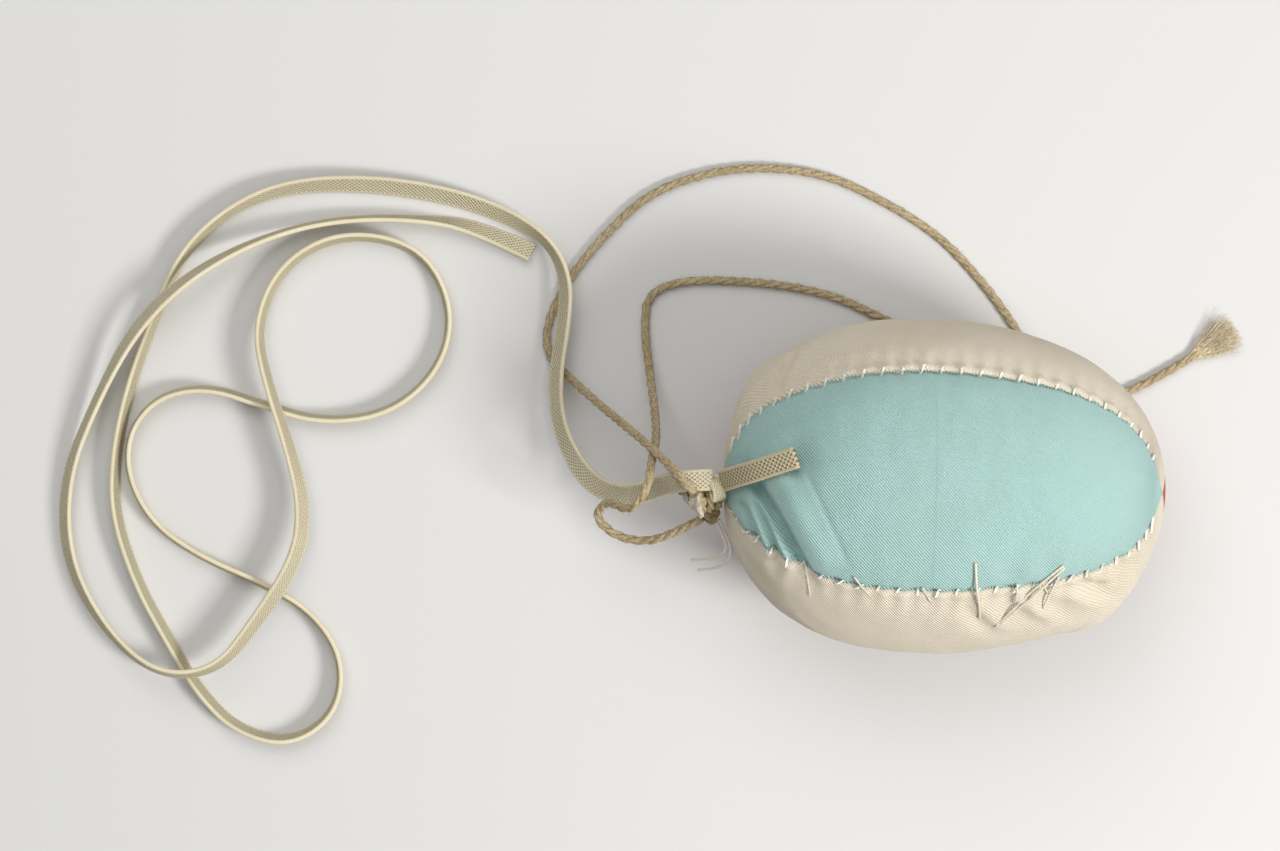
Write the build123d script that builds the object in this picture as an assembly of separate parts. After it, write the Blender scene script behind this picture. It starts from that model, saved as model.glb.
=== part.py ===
from build123d import *
from build123d.topology import SkipClean
import math
import os

# Hand-sewn, stuffed cloth ball of four gores, lying on its side, with its gathered neck
# tied with twine and tape. Millimetres, +Z up, +X along the ball from its neck to its far
# end. The origin is on the ground under the middle of the tied ball.

os.makedirs("parts", exist_ok=True)

# The ball
BALL_WIDEST_X = -2.0
BALL_TO_NECK = 58.9
BALL_TO_FAR_END = 75.2
BALL_RADIUS = 51.2
BALL_SETTLES = 6.0
BALL_CENTRE_Z = BALL_RADIUS - BALL_SETTLES
BALL_FULLNESS = 2.2
PROFILE_STEPS = 40
CLOTH = 1.0
LINING = 0.8
LAYER_GAP = 0.05
SECTOR_SPARE = 10.0

# Seams, as angles about the ball's long axis from straight up towards +Y
SEAM_TOP_BACK = 44.0
SEAM_TOP_FRONT = -38.0
SEAM_BOTTOM_BACK = 134.0
SEAM_BOTTOM_FRONT = -128.0
STITCH_PITCH = 5.7
STITCH_LENGTH = 4.6
STITCH_RADIUS = 0.4
STITCH_END_FULLNESS = 0.3

# The neck, in its own frame, whose Z runs out of the ball
NECK_ORIGIN = (-59.0, -1.0, 50.0)
NECK_DIRECTION = (-0.88, -0.30, 0.37)
NECK_RADIUS = 3.8
NECK_STRAIGHT = 13.8
TUFT_RADIUS = 4.8
TUFT_WIDEST = 14.6
TUFT_END = 15.2
TWINE_DIAMETER = 2.75
WRAP_RADIUS = NECK_RADIUS + TWINE_DIAMETER / 2 + 0.03
WRAP_FIRST = 5.85
WRAP_PITCH = 2.8
WRAP_COUNT = 3
BINDING_RADIUS = 0.4
BINDING_PLACE = 13.35

# Knots
TAPE_KNOT = (6.4, 8.5, 4.6)
TAPE_KNOT_PLACE = 8.6
TAPE_KNOT_HEIGHT = 9.0
KNOT_ROUND = 1.4
TWINE_KNOT_RADIUS = 3.0
TWINE_KNOT_CENTRE = (-64.2, -10.6, 46.9)

# Tape
TAPE_WIDTH = 6.35
TAPE_THICKNESS = 1.6
TAIL_ROOT = (-61.2, 0.3, 64.2)
TAIL_MIDDLE = (-51.5, 4.0, 80.5)
TAIL_TIP = (-41.0, 8.0, 88.5)

# Heights of a tape's middle: on its edge, over another strand, and over the twine
EDGE = TAPE_WIDTH / 2 + 0.2
OVER = 11.4
BRIDGE = 12.8
LOW = TWINE_DIAMETER / 2 + 0.1

TAPE_ROUTE = [
    (-65.2, 0.2, 62.2), (-70.6, 2.5, 62.6), (-75.6, 3.1, 59.4), (-78.2, 1, 50.5),
    (-82.5, -3, 37.5),
    (-94, -6, 27), (-105, 0, 20), (-112, 14, 15),
    (-114, 30, BRIDGE), (-111.5, 48, BRIDGE), (-111, 62, BRIDGE), (-117, 74, 7),
    (-131, 82, EDGE), (-150, 88, EDGE), (-175, 91, EDGE), (-200, 89.5, EDGE),
    (-218, 82, EDGE), (-233, 68, EDGE), (-241, 48, EDGE), (-248.5, 26, EDGE),
    (-253, 4, EDGE), (-253, -16, EDGE), (-245, -38, EDGE), (-235, -55, EDGE),
    (-224.5, -72, EDGE), (-212, -84, EDGE), (-195, -88, EDGE), (-181, -78, EDGE),
    (-179, -61, EDGE), (-189, -46, EDGE), (-206, -37, EDGE), (-224, -30, EDGE),
    (-240, -20, EDGE), (-249, -5, EDGE), (-249, 10, EDGE), (-240, 21.5, EDGE),
    (-224, 25, EDGE), (-205, 19, EDGE), (-187, 14.5, EDGE), (-166, 18, EDGE),
    (-151, 32, EDGE), (-147, 50, EDGE), (-155, 67.5, EDGE), (-170, 74, EDGE),
    (-188, 73, EDGE), (-203, 62, EDGE), (-209, 44, 6), (-205, 28, OVER),
    (-197, 6, OVER), (-192, -12, 9), (-193.5, -29, OVER), (-206, -49, OVER),
    (-218, -65, OVER), (-237, -67, OVER), (-255, -53, 6), (-268, -31, EDGE),
    (-269, -5, EDGE), (-259, 20, 6), (-247, 43, OVER), (-230, 60, OVER),
    (-207, 73, 6), (-183, 79.5, EDGE), (-155, 80, EDGE), (-138, 77, EDGE),
    (-122.5, 70, EDGE),
]

TWINE_LONG_ROUTE = [
    (-68.6, 1.2, 56.5), (-71.3, 8.4, 56.4), (-78, 10.6, 52), (-87, 13, 41.5), (-98, 21, 20),
    (-110, 31, 4),
    (-117, 38, LOW), (-117, 49, LOW), (-110, 63, LOW), (-100, 76, LOW), (-86, 90, LOW),
    (-68, 97, LOW), (-50, 99.5, LOW), (-29, 97.5, LOW), (-10, 89, LOW), (7, 79, LOW),
    (20, 66, LOW), (31, 52, LOW), (40, 37, LOW), (52, 27.5, LOW), (66, 29.5, LOW),
    (80, 37, LOW), (90, 43.5, LOW),
]

TWINE_SHORT_ROUTE = [
    (-66.8, -11.6, 46.4), (-74, -16, 42), (-84, -20, 36), (-94, -18, 34), (-100, -12, 36),
    (-96, -7, 44), (-90.5, -9.6, 51), (-86.8, -8, 57), (-83.6, -1.6, 59), (-83, 5.2, 52.6),
    (-82, 9, 42), (-81.5, 13.5, 28), (-82.3, 22, 14), (-84, 33, 5), (-86, 46, LOW),
    (-85.5, 58, LOW), (-75, 62.5, LOW), (-59, 63, LOW), (-42, 62, LOW), (-26, 59, LOW),
    (-12, 53, LOW), (0, 47, LOW), (11, 39, LOW),
]

# The frayed brush spreads from the end of the long twine
FRAY_LENGTH = 15.0
FRAY_END_RADIUS = 3.6

# Loose white thread ends, which hang from the twine's knot
THREAD_RADIUS = 0.5
BINDING_TAIL_ROUTES = {
    "binding_tail_inner": [
        (-62.6, -12.6, 45.1), (-60, -17.6, 41), (-58.8, -21.2, 35.5), (-61, -23.9, 29.5),
        (-65, -25.2, 24.2), (-69.4, -25.5, 19.5),
    ],
    "binding_tail_outer": [
        (-61.8, -11.9, 45.5), (-58.6, -17.8, 40.2), (-57.4, -23, 34.6), (-59.6, -26.6, 28.8),
        (-63.2, -28.2, 23), (-67.1, -28.7, 17.6),
    ],
}

# Loose ends of sewing thread on the gores: x and angle of one end, then of the other
SEAM_TAIL_RADIUS = 0.3
SEAM_TAIL_ROOT = -0.2
SEAM_TAIL_LIFT = 0.45
SEAM_TAILS = [
    (-37, -36, -35, -49), (-23, -33, -17, -42), (-3, -35, 0, -42), (12, -26, 15, -52),
    (25, -36, 25, -45), (38, -29, 20, -56), (36, -36, 34, -50),
]


def fullness(x):
    """Share of the ball's full section that it has at a place along it."""
    reach = BALL_TO_FAR_END if x > BALL_WIDEST_X else BALL_TO_NECK
    along = min(1.0, abs(x - BALL_WIDEST_X) / reach)
    return (1 - along ** BALL_FULLNESS) ** (1 / BALL_FULLNESS)


def on_ball(x, angle, lift=0.0):
    """Point on the ball at a place along it and an angle about its long axis."""
    a = math.radians(angle)
    reach = BALL_RADIUS * fullness(x) + lift
    return Vector(x, reach * math.sin(a), BALL_CENTRE_Z + reach * math.cos(a))


def egg_sector(inset, first, arc):
    """The stuffed shape between two angles, drawn in by an inset, before it settles."""
    points = []
    for step in range(PROFILE_STEPS + 1):
        a = math.pi * step / PROFILE_STEPS
        reach = BALL_TO_FAR_END if math.cos(a) > 0 else BALL_TO_NECK
        along = math.copysign(abs(math.cos(a)) ** (2 / BALL_FULLNESS), math.cos(a))
        out = math.sin(a) ** (2 / BALL_FULLNESS) if 0 < step < PROFILE_STEPS else 0
        points.append((along * (reach - inset), out * (BALL_RADIUS - inset)))
    profile = Spline(*points, tangents=[(0, 1), (0, -1)])
    half = make_face([profile, Line(points[-1], points[0])])
    body = Rot(90 - first - arc, 0, 0) * revolve(half, Axis.X, arc)
    return Pos(BALL_WIDEST_X, 0, BALL_CENTRE_Z) * body


def settle(body, height):
    """Cut a body flat at the height where it rests."""
    room = 4 * BALL_RADIUS
    return body - Pos(0, 0, height - room / 2) * Box(room, room, room)


def egg(inset):
    """Two halves joined, with each half's face kept apart so that it stays a plain patch."""
    with SkipClean():
        near = settle(egg_sector(inset, 0, 180), inset)
        far = settle(egg_sector(inset, 180, 180), inset)
        return near + far


def panel(first, last):
    """One gore. What is cut from its inside runs a little wider than the gore itself."""
    arc = last - first
    inside = egg_sector(CLOTH, first - SECTOR_SPARE, arc + 2 * SECTOR_SPARE)
    return settle(egg_sector(0, first, arc), 0) - settle(inside, CLOTH)


def panels():
    return {
        "panel_top": panel(SEAM_TOP_FRONT, SEAM_TOP_BACK),
        "panel_back": panel(SEAM_TOP_BACK, SEAM_BOTTOM_BACK),
        "panel_bottom": panel(SEAM_BOTTOM_BACK, SEAM_BOTTOM_FRONT + 360),
        "panel_front": panel(SEAM_BOTTOM_FRONT, SEAM_TOP_FRONT),
    }


def lining_bag():
    with SkipClean():
        return egg(CLOTH + LAYER_GAP) - egg(CLOTH + LINING)


def seam_places(angle):
    """Places along a seam, one stitch pitch apart, clear of both poles."""
    places = []
    step = 0.2
    run = 0.0
    x = BALL_WIDEST_X - BALL_TO_NECK + step
    while x < BALL_WIDEST_X + BALL_TO_FAR_END - step:
        run += (on_ball(x + step, angle) - on_ball(x, angle)).length
        x += step
        if run >= STITCH_PITCH and fullness(x) > STITCH_END_FULLNESS:
            places.append(x)
            run = 0.0
    return places


def stitches(angle):
    """Short threads that cross a seam, one for each whip stitch."""
    a = math.radians(angle)
    across = (0, math.cos(a), -math.sin(a))
    threads = []
    for x in seam_places(angle):
        place = Plane(origin=on_ball(x, angle), x_dir=(1, 0, 0), z_dir=across)
        threads.append(place.location * Cylinder(STITCH_RADIUS, STITCH_LENGTH))
    return Compound(children=threads)


def neck_frame():
    return Plane(origin=NECK_ORIGIN, x_dir=(0, 0, 1), z_dir=NECK_DIRECTION).location


def neck_tuft():
    """Gathered cloth that leaves the ball through the wraps and flares behind them."""
    outline = Polyline(
        (0, 0), (NECK_RADIUS, 0), (NECK_RADIUS, NECK_STRAIGHT),
        (TUFT_RADIUS, TUFT_WIDEST), (NECK_RADIUS, TUFT_END), (0, TUFT_END), close=True,
    )
    tuft = revolve(Plane.XZ * make_face(outline), Axis.Z, 360)
    return neck_frame() * tuft - egg(0)


def neck_twine_wraps():
    rings = []
    for turn in range(WRAP_COUNT):
        place = Pos(0, 0, WRAP_FIRST + turn * WRAP_PITCH)
        rings.append(neck_frame() * place * Torus(WRAP_RADIUS, TWINE_DIAMETER / 2))
    return Compound(children=rings)


def binding_thread():
    ring = Torus(NECK_RADIUS + BINDING_RADIUS, BINDING_RADIUS)
    return neck_frame() * Pos(0, 0, BINDING_PLACE) * ring


def tape_knot():
    along, across, tall = TAPE_KNOT
    knot = Box(tall, across, along)
    knot = fillet(knot.edges(), KNOT_ROUND)
    return neck_frame() * Pos(TAPE_KNOT_HEIGHT, 0, TAPE_KNOT_PLACE) * knot


def tape_tail():
    """Short free end of the tape, arched over the ball."""
    path = ThreePointArc(TAIL_ROOT, TAIL_MIDDLE, TAIL_TIP)
    side = Vector(*TAIL_TIP) - Vector(*TAIL_ROOT)
    across = Vector(-side.Y, side.X, 0).normalized()
    start = Plane(origin=TAIL_ROOT, x_dir=across, z_dir=path % 0)
    return sweep(start * Rectangle(TAPE_WIDTH, TAPE_THICKNESS), path=path)


def route_path(points, name, smallest):
    """Straight runs joined by arcs as large as each pair of runs allows."""
    corners = [Vector(*point) for point in points]
    radii = []
    for before, here, after in zip(corners, corners[1:], corners[2:]):
        turn = math.radians((here - before).get_angle(after - here))
        shorter = min((here - before).length, (after - here).length)
        radii.append(0.45 * shorter / math.tan(turn / 2))
    print(name, "smallest radius", round(min(radii), 1), "wanted", round(smallest, 1))
    print(name, "radii", [round(radius, 1) for radius in radii])
    return FilletPolyline(*corners, radius=radii)


def round_cord(points, radius, name):
    path = route_path(points, name, 6 * radius)
    start = Plane(origin=path @ 0, z_dir=path % 0)
    cord = sweep(start * Circle(radius), path=path)
    ratio = cord.volume / (math.pi * radius ** 2 * path.length)
    print(name, "length", round(path.length, 1), "volume over section x length", round(ratio, 4))
    return cord


def flat_cord(points, name):
    """Tape that stands about on its edge along its route."""
    path = route_path(points, name, 3 * TAPE_WIDTH)
    start = Plane(origin=path @ 0, x_dir=Vector(0, 0, 1).cross(path % 0), z_dir=path % 0)
    cord = sweep(start * Rectangle(TAPE_THICKNESS, TAPE_WIDTH), path=path)
    ratio = cord.volume / (TAPE_THICKNESS * TAPE_WIDTH * path.length)
    print(name, "length", round(path.length, 1), "volume over section x length", round(ratio, 4))
    return cord


def twine_fray():
    """Cone of loosened fibres that goes on from the end of the long twine."""
    end = Vector(*TWINE_LONG_ROUTE[-1])
    run = end - Vector(*TWINE_LONG_ROUTE[-2])
    lifted = Vector(run.X, run.Y, run.length * (FRAY_END_RADIUS - LOW + 0.1) / FRAY_LENGTH)
    brush = Cone(TWINE_DIAMETER / 2, FRAY_END_RADIUS, FRAY_LENGTH)
    place = Plane(origin=end, z_dir=lifted)
    return place.location * Pos(0, 0, FRAY_LENGTH / 2) * brush


def seam_thread_tails():
    """Threads that come out of the cloth at one end and lie along it."""
    threads = []
    for x0, angle0, x1, angle1 in SEAM_TAILS:
        root = on_ball(x0, angle0, SEAM_TAIL_ROOT)
        middle = on_ball((x0 + x1) / 2, (angle0 + angle1) / 2, SEAM_TAIL_LIFT)
        tip = on_ball(x1, angle1, SEAM_TAIL_LIFT)
        path = ThreePointArc(root, middle, tip)
        start = Plane(origin=root, z_dir=path % 0)
        threads.append(sweep(start * Circle(SEAM_TAIL_RADIUS), path=path))
    return Compound(children=threads)


nodes = panels()
nodes["stitches_top_back"] = stitches(SEAM_TOP_BACK)
nodes["stitches_top_front"] = stitches(SEAM_TOP_FRONT)
nodes["stitches_bottom_back"] = stitches(SEAM_BOTTOM_BACK)
nodes["stitches_bottom_front"] = stitches(SEAM_BOTTOM_FRONT)
nodes["seam_thread_tails"] = seam_thread_tails()
nodes["lining_bag"] = lining_bag()
nodes["herb_filling"] = egg(CLOTH + LINING + LAYER_GAP)
nodes["neck_tuft"] = neck_tuft()
nodes["neck_twine_wraps"] = neck_twine_wraps()
nodes["twine_knot"] = Pos(*TWINE_KNOT_CENTRE) * Sphere(TWINE_KNOT_RADIUS)
nodes["binding_thread"] = binding_thread()
for tail_name, tail_route in BINDING_TAIL_ROUTES.items():
    nodes[tail_name] = round_cord(tail_route, THREAD_RADIUS, tail_name)
nodes["tape_knot"] = tape_knot()
nodes["tape_tail"] = tape_tail()
nodes["tape_long"] = flat_cord(TAPE_ROUTE, "tape_long")
nodes["twine_long"] = round_cord(TWINE_LONG_ROUTE, TWINE_DIAMETER / 2, "twine_long")
nodes["twine_short"] = round_cord(TWINE_SHORT_ROUTE, TWINE_DIAMETER / 2, "twine_short")
nodes["twine_fray"] = twine_fray()

for node_name, shape in nodes.items():
    export_step(shape, f"parts/{node_name}.step")
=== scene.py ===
import math
import random

import bpy
import numpy as np
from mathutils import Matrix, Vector, noise


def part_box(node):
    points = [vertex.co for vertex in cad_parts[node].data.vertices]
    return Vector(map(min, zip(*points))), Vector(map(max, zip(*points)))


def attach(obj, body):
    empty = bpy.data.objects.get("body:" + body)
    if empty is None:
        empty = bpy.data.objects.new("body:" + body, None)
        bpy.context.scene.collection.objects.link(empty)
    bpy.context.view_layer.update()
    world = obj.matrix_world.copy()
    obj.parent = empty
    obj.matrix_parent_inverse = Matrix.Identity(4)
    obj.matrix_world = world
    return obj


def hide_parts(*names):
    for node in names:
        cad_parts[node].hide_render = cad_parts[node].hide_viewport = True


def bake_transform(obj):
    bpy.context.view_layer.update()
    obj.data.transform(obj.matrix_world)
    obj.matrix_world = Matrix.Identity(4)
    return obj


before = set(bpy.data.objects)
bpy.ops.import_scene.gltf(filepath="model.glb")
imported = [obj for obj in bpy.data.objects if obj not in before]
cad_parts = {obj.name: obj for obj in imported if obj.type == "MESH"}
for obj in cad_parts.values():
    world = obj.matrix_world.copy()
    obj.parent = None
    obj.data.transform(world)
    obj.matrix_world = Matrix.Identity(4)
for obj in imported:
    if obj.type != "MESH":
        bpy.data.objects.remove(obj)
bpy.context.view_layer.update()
MM = 0.001

# ---------------------------------------------------------------- driving dimensions
# They are those of the CAD model, in metres.
BALL_WIDEST_X = -2.0 * MM
BALL_TO_NECK = 58.9 * MM
BALL_TO_FAR_END = 75.2 * MM
BALL_RADIUS = 51.2 * MM
BALL_CENTRE_Z = 45.2 * MM
BALL_FULLNESS = 2.2
CLOTH = 1.0 * MM
LINING = 0.8 * MM
LAYER_GAP = 1.2 * MM
SEAM_TOP_BACK = 44.0
SEAM_TOP_FRONT = -38.0
SEAM_BOTTOM_BACK = 134.0
SEAM_BOTTOM_FRONT = -128.0
STITCH_PITCH = 5.7 * MM
STITCH_HALF = 1.35
STITCH_SUNK_DEPTH = 0.55
STITCH_SUNK_SHARE = 0.4
# Each seam with the side, towards larger angles or smaller ones, that its cream gore is on
SEAMS = [(SEAM_TOP_BACK, 1), (SEAM_TOP_FRONT, -1), (SEAM_BOTTOM_BACK, -1), (SEAM_BOTTOM_FRONT, 1)]
FAR_MEETING_LIFT = 16.5 * MM
FAR_MEETING_REACH = 20.0 * MM

# Folds beside the neck: the start and end of each in plan, in millimetres
LONG_FOLD = ((-52, 3), (-37, -24))
SWELL_BEYOND = ((-47, 4), (-32, -23))
RIDGE_BEFORE = ((-54, -1), (-41, -25))
SECOND_FOLD = ((-51, -7), (-44, -23))
THIRD_FOLD = ((-55, -7), (-49.5, -20))
SHORT_PLEAT = ((-52, -2), (-46, -11))
FAINT_LINE = ((-37, 2), (-26, -21))
TWILL_SPACING = 0.95 * MM
TWILL_CROSSING = 0.62 * MM

NECK_ORIGIN = Vector((-59.0, -1.0, 50.0)) * MM
NECK_AXIS = Vector((-0.88, -0.30, 0.37)).normalized()
NECK_UP = (Vector((0, 0, 1)) - NECK_AXIS * NECK_AXIS.z).normalized()
NECK_SIDE = NECK_AXIS.cross(NECK_UP)
NECK_RADIUS = 3.8 * MM
TUFT_LEAN = Vector((4.0, -1.8, 8.0)) * MM

TWINE = 2.75 * MM
TWINE_PITCH = 13.0 * MM
TAPE_WIDTH = 6.35 * MM
TAPE_THICKNESS = 1.3 * MM
# Woven cells across the face, and the length of one
TAPE_CELLS = (5, 1.5 * MM)
TAIL_CELLS = (4, 1.7 * MM)
TAPE_KNOT_WIDTH = 3.6 * MM
TAIL_ROOT = Vector((-61.2, 0.3, 64.2)) * MM
TAIL_BEND = Vector((-58.6, 1.4, 70.2)) * MM
TAIL_MIDDLE = Vector((-51.5, 4.0, 80.5)) * MM
TAIL_TIP = Vector((-41.0, 8.0, 88.5)) * MM
TAIL_TURN = 90
FLOOR_GAP = 0.1 * MM
TAPE_RESOLUTION = 60
TWINE_RESOLUTION = 36

# ---------------------------------------------------------------- routes of the cords
# The tape rests closer on what it crosses than the CAD's stiff tube does, and the long twine
# starts in front of the tape and passes over it.
EDGE = 3.375
OVER = 10.3
BRIDGE = 7.8
LOW = 1.475

# Each point of the tape's route also has its turn, in degrees: 0 stands on its edge, and 90
# lies with its face up. A leaning tape needs less height, which settled_height() works out.
TAPE_ROUTE = [
    (-64.6, 0.4, 62.6, 85), (-70, 0.2, 63, 85), (-75.5, -0.6, 58.6, 80), (-79.4, -1.8, 50.5, 75),
    (-84.5, -4.4, 38.5, 75), (-94, -6, 28, 75), (-104, -0.5, 19, 60), (-112, 14, 12, 35),
    (-114, 30, BRIDGE, 35), (-111.5, 48, BRIDGE, 35), (-111, 62, BRIDGE, 30), (-117, 74, 7, 20),
    (-131, 82, EDGE, 42), (-150, 88, EDGE, 45), (-175, 91, EDGE, 45), (-200, 89.5, EDGE, 30),
    (-218, 82, EDGE, 15), (-233, 68, EDGE, 12), (-241, 48, EDGE, 12), (-248.5, 26, EDGE, 12),
    (-253, 4, EDGE, 12), (-253, -16, EDGE, 12), (-245, -38, EDGE, 14), (-235, -55, EDGE, 15),
    (-224.5, -72, EDGE, 15), (-212, -84, EDGE, 15), (-195, -88, EDGE, 14), (-181, -78, EDGE, 12),
    (-179, -61, EDGE, 12), (-189, -46, EDGE, 12), (-206, -37, EDGE, 12), (-224, -30, EDGE, 12),
    (-240, -20, EDGE, 12), (-249, -5, EDGE, 12), (-249, 10, EDGE, 12), (-240, 21.5, EDGE, 12),
    (-224, 25, EDGE, 12), (-205, 19, EDGE, 12), (-187, 14.5, EDGE, 12), (-166, 18, EDGE, 12),
    (-151, 32, EDGE, 12), (-147, 50, EDGE, 12), (-155, 67.5, EDGE, 12), (-170, 74, EDGE, 12),
    (-188, 73, EDGE, 12), (-203, 62, EDGE, 12), (-209, 44, 6, 12), (-205, 28, OVER, 14),
    (-197, 6, OVER, 20), (-192, -12, 9, 30), (-193.5, -29, OVER, 35), (-206, -49, OVER, 32),
    (-218, -65, OVER, 20), (-237, -67, OVER, 15), (-255, -53, 6, 25), (-268, -31, EDGE, 35),
    (-269, -5, EDGE, 35), (-259, 20, 6, 25), (-247, 43, OVER, 40), (-230, 60, OVER, 30),
    (-207, 73, 6, 15), (-183, 79.5, EDGE, 12), (-155, 80, EDGE, 15), (-138, 77, EDGE, 45),
    (-122.5, 70, EDGE, 60),
]
TWINE_LONG_ROUTE = [
    (-66.8, -6.2, 58.5), (-69.2, -4.4, 64.2), (-73, -0.4, 65), (-78.8, 5.6, 58),
    (-87, 12.6, 42.5), (-98, 21, 20), (-110, 31, 4), (-117, 38, LOW), (-117, 49, LOW),
    (-110, 63, LOW), (-100, 76, LOW), (-86, 90, LOW), (-68, 97, LOW), (-50, 99.5, LOW),
    (-29, 97.5, LOW), (-10, 89, LOW), (7, 79, LOW), (20, 66, LOW), (31, 52, LOW), (40, 37, LOW),
    (52, 27.5, LOW), (66, 29.5, LOW), (80, 37, LOW), (90, 43.5, LOW),
]
TWINE_SHORT_ROUTE = [
    (-66.8, -11.6, 46.4), (-74, -16, 42), (-84, -20, 36), (-94, -18, 34), (-100, -12, 36),
    (-96, -7, 44), (-90.5, -9.6, 51), (-86.8, -8, 57), (-83.6, -1.6, 59), (-83, 5.2, 52.6),
    (-82, 9, 42), (-81.5, 13.5, 28), (-82.3, 22, 14), (-84, 33, 5), (-86, 46, LOW),
    (-85.5, 58, LOW), (-75, 62.5, LOW), (-59, 63, LOW), (-42, 62, LOW), (-26, 59, LOW),
    (-12, 53, LOW), (0, 47, LOW), (11, 39, LOW),
]
BINDING_TAIL_ROUTES = {
    "binding_tail_inner": [
        (-62.6, -12.6, 45.1), (-60, -17.6, 41), (-58.8, -21.2, 35.5), (-61, -23.9, 29.5),
        (-65, -25.2, 24.2), (-69.4, -25.5, 19.5),
    ],
    "binding_tail_outer": [
        (-61.8, -11.9, 45.5), (-58.6, -17.8, 40.2), (-57.4, -23, 34.6), (-59.6, -26.6, 28.8),
        (-63.2, -28.2, 23), (-67.1, -28.7, 17.6),
    ],
}
THREAD_DIAMETER = 1.0 * MM


# ---------------------------------------------------------------- helpers
def mesh_object(name, points, faces, material, smooth=True):
    mesh = bpy.data.meshes.new(name)
    mesh.from_pydata([tuple(p) for p in points], [], faces)
    mesh.validate()
    mesh.update()
    for polygon in mesh.polygons:
        polygon.use_smooth = smooth
    thing = bpy.data.objects.new(name, mesh)
    bpy.context.collection.objects.link(thing)
    thing.data.materials.append(material)
    return thing


def set_weave(thing, places):
    """Gives each point its place on the flat cloth, for the weave in its material."""
    values = np.zeros((len(places), 3), np.float32)
    values[:, :2] = places
    attribute = thing.data.attributes.new("weave", "FLOAT_VECTOR", "POINT")
    attribute.data.foreach_set("vector", values.ravel())


def take_place(thing, node, body="ball"):
    """The piece stands for a CAD node, on its body."""
    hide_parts(node)
    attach(thing, body)
    return thing


def smoothstep(low, high, value):
    share = min(1.0, max(0.0, (value - low) / (high - low)))
    return share * share * (3 - 2 * share)


def nurbs_line(places, resolution):
    """Points of the smooth NURBS spline that has these places as its control points."""
    curve = bpy.data.curves.new("line", "CURVE")
    curve.dimensions = "3D"
    curve.resolution_u = resolution
    spline = curve.splines.new("NURBS")
    spline.points.add(len(places) - 1)
    for point, place in zip(spline.points, places):
        point.co = (*place, 1)
    spline.order_u = 3
    spline.use_endpoint_u = True
    holder = bpy.data.objects.new("line", curve)
    bpy.context.collection.objects.link(holder)
    bpy.context.view_layer.update()
    mesh = bpy.data.meshes.new_from_object(holder)
    line = np.array([v.co[:] for v in mesh.vertices])
    bpy.data.objects.remove(holder)
    bpy.data.curves.remove(curve)
    bpy.data.meshes.remove(mesh)
    return line


def in_metres(route):
    return [Vector(place[:3]) * MM for place in route]


def run_along(points):
    """Distance along a line to each of its points."""
    return np.concatenate([[0], np.cumsum(np.linalg.norm(np.diff(points, axis=0), axis=1))])


def frames_along(points):
    """Direction, sideways and upward unit vectors at each point, with up as near +Z as it goes."""
    direction = np.gradient(points, axis=0)
    direction /= np.linalg.norm(direction, axis=1)[:, None]
    side = np.cross(direction, [0.0, 0.0, 1.0])
    side /= np.linalg.norm(side, axis=1)[:, None]
    return direction, side, np.cross(side, direction)


def tube_mesh(rings):
    """Vertices and faces of a tube, closed at both ends, through rings of equally many points."""
    count, around = rings.shape[:2]
    points = rings.reshape(-1, 3)
    faces = []
    for i in range(count - 1):
        for j in range(around):
            k = (j + 1) % around
            a, b = i * around, (i + 1) * around
            faces.append((a + j, a + k, b + k, b + j))
    faces.append(tuple(range(around))[::-1])
    faces.append(tuple((count - 1) * around + j for j in range(around)))
    return points, faces


def joined(parts):
    """One list of points and faces from several."""
    all_points, all_faces, base = [], [], 0
    for points, faces in parts:
        all_points.extend(points)
        all_faces.extend(tuple(base + i for i in face) for face in faces)
        base += len(points)
    return all_points, all_faces


def round_rings(centres, radius, side, up, around):
    """A round ring of points about each place along a line."""
    angle = np.linspace(0, 2 * math.pi, around, endpoint=False)
    return centres[:, None] + radius * (
        np.cos(angle)[None, :, None] * side[:, None] + np.sin(angle)[None, :, None] * up[:, None]
    )


def thin_thread(points, radius, around=6, taper=0.0):
    """A thread of round section along a short list of points."""
    points = np.array([tuple(p) for p in points], float)
    direction = np.gradient(points, axis=0)
    direction /= np.linalg.norm(direction, axis=1)[:, None] + 1e-12
    helper = np.array([0.31, 0.17, 0.93])
    side = np.cross(direction, helper)
    side /= np.linalg.norm(side, axis=1)[:, None] + 1e-12
    up = np.cross(side, direction)
    size = radius * (1 - taper * np.linspace(0, 1, len(points)))
    return tube_mesh(round_rings(points, size[:, None, None], side, up, around))


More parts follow.
